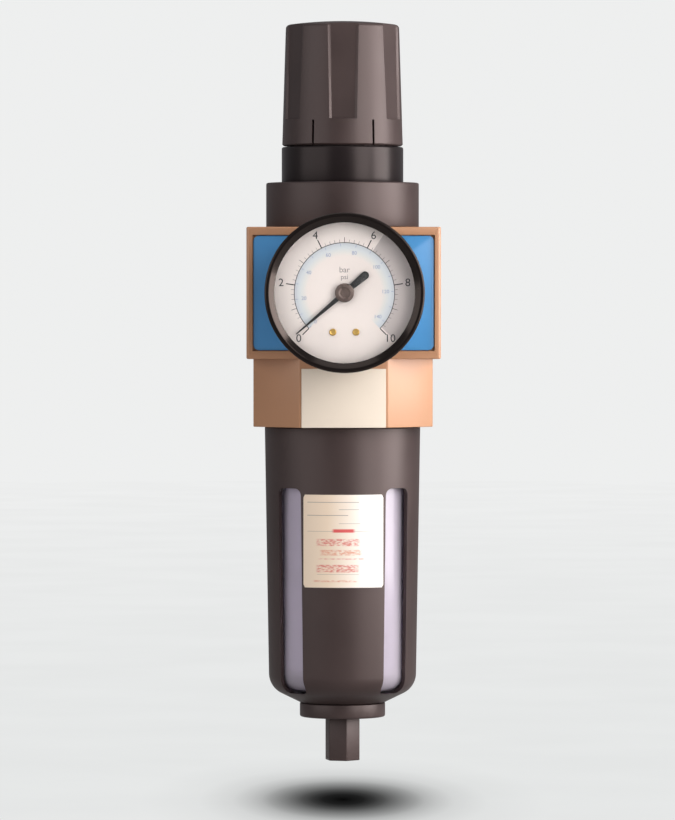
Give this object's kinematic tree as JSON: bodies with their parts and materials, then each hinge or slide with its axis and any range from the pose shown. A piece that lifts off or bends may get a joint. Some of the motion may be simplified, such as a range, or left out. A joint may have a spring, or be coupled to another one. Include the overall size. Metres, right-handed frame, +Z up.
{
  "type": "filter regulator",
  "caption": "Compressed-air filter and pressure regulator in one body, with a locking knob, a dial gauge, and a clear bowl in a slotted guard over a drain.",
  "frame": {"origin": "centre of the drain outlet's mouth, on the bowl axis", "axes": "+Z up the bowl axis to the knob, +X along the flow to the outlet port, the gauge faces -Y"},
  "size_m": [0.08, 0.1064, 0.3088],
  "materials": {
    "casting_paint": "satin paint on cast aluminium",
    "panel_blue": "satin blue",
    "plate_ivory": "matt ivory",
    "zinc_steel": "zinc plated",
    "black_plastic": "matt moulded",
    "black_gloss": "gloss moulded",
    "white_plastic": "matt moulded",
    "clear_plastic": "clear moulded",
    "clear_glass": "polished",
    "black_rubber": "matt",
    "brass_parts": "machined",
    "spring_steel": "drawn wire",
    "bare_aluminium": "pressed",
    "element_media": "porous",
    "label_film": "printed film",
    "case_paint": "black enamel",
    "dial_white": "white enamel",
    "pointer_black": "black enamel"
  },
  "bodies": {
    "body": {"body_casting": "casting_paint", "front_panel": "panel_blue", "rear_panel": "panel_blue", "name_plate": "plate_ivory", "rear_plug": "zinc_steel", "bonnet": "black_plastic", "neck_ring": "black_gloss", "diaphragm": "black_rubber", "slip_ring": "white_plastic", "valve_seat": "brass_parts", "valve_guide": "white_plastic", "deflector": "white_plastic", "filter_element": "element_media", "baffle": "white_plastic", "gauge_socket": "brass_parts", "gauge_case": "case_paint", "gauge_bezel": "case_paint", "gauge_lens": "clear_glass", "gauge_dial": "dial_white", "dial_screws": "brass_parts", "movement_frame": "brass_parts", "bourdon_tube": "brass_parts"},
    "adjuster": {"adjusting_screw": "zinc_steel", "thrust_washer": "zinc_steel"},
    "spring_carrier": {"spring_seat": "brass_parts", "main_spring": "spring_steel"},
    "knob": {"knob": "black_plastic"},
    "valve_train": {"diaphragm_plate": "bare_aluminium", "diaphragm_hub": "brass_parts", "valve_poppet": "brass_parts", "poppet_seal": "black_rubber", "valve_spring": "spring_steel"},
    "pointer": {"pointer": "pointer_black", "pointer_hub": "zinc_steel", "pointer_arbor": "zinc_steel"},
    "sector": {"sector_gear": "brass_parts"},
    "bowl": {"bowl": "clear_plastic", "bowl_seal": "black_rubber", "drain_body": "brass_parts", "drain_washer": "black_rubber", "drain_nut": "black_gloss"},
    "guard": {"guard": "black_plastic", "bowl_label": "label_film"},
    "drain": {"drain_stem": "black_plastic"}
  },
  "joints": [
    {"name": "knob_turn", "type": "hinge", "parent": "body", "child": "adjuster", "pos_m": [0, 0, 0.2884], "axis": [0, 0, -1], "range_deg": [0, 1800]},
    {"name": "seat_travel", "type": "slide", "parent": "body", "child": "spring_carrier", "axis": [0, 0, -1], "range_m": [0, 0.01], "deforming": ["main_spring"]},
    {"name": "knob_lift", "type": "slide", "parent": "adjuster", "child": "knob", "axis": [0, 0, 1], "range_m": [0, 0.003]},
    {"name": "valve_travel", "type": "slide", "parent": "body", "child": "valve_train", "axis": [0, 0, -1], "range_m": [0, 0.0015], "stiffness_N_per_m": 2000, "springref_m": -0.003, "deforming": ["valve_spring", "diaphragm"]},
    {"name": "pointer_turn", "type": "hinge", "parent": "body", "child": "pointer", "pos_m": [0, -0.06, 0.1954], "axis": [0, 1, 0], "range_deg": [0, 264], "stiffness_Nm_per_rad": 0.0003, "springref_deg": -17.19},
    {"name": "sector_turn", "type": "hinge", "parent": "body", "child": "sector", "pos_m": [0, -0.052, 0.1814], "axis": [0, 1, 0], "range_deg": [-44.5, 0]},
    {"name": "bowl_drop", "type": "slide", "parent": "body", "child": "bowl", "axis": [0, 0, -1], "range_m": [0, 0.012]},
    {"name": "guard_turn", "type": "hinge", "parent": "bowl", "child": "guard", "pos_m": [0, 0, 0.1561], "axis": [0, 0, -1], "range_deg": [0, 2160]},
    {"name": "drain_turn", "type": "hinge", "parent": "bowl", "child": "drain", "pos_m": [0, 0, 0.009], "axis": [0, 0, -1], "range_deg": [0, 360]}
  ],
  "couplings": [
    {"joint": "seat_travel", "follows": "knob_turn", "m_per_rad": 0.0003183},
    {"joint": "sector_turn", "follows": "pointer_turn", "ratio": -0.16667},
    {"joint": "bowl_drop", "follows": "guard_turn", "m_per_rad": 0.0003183}
  ]
}
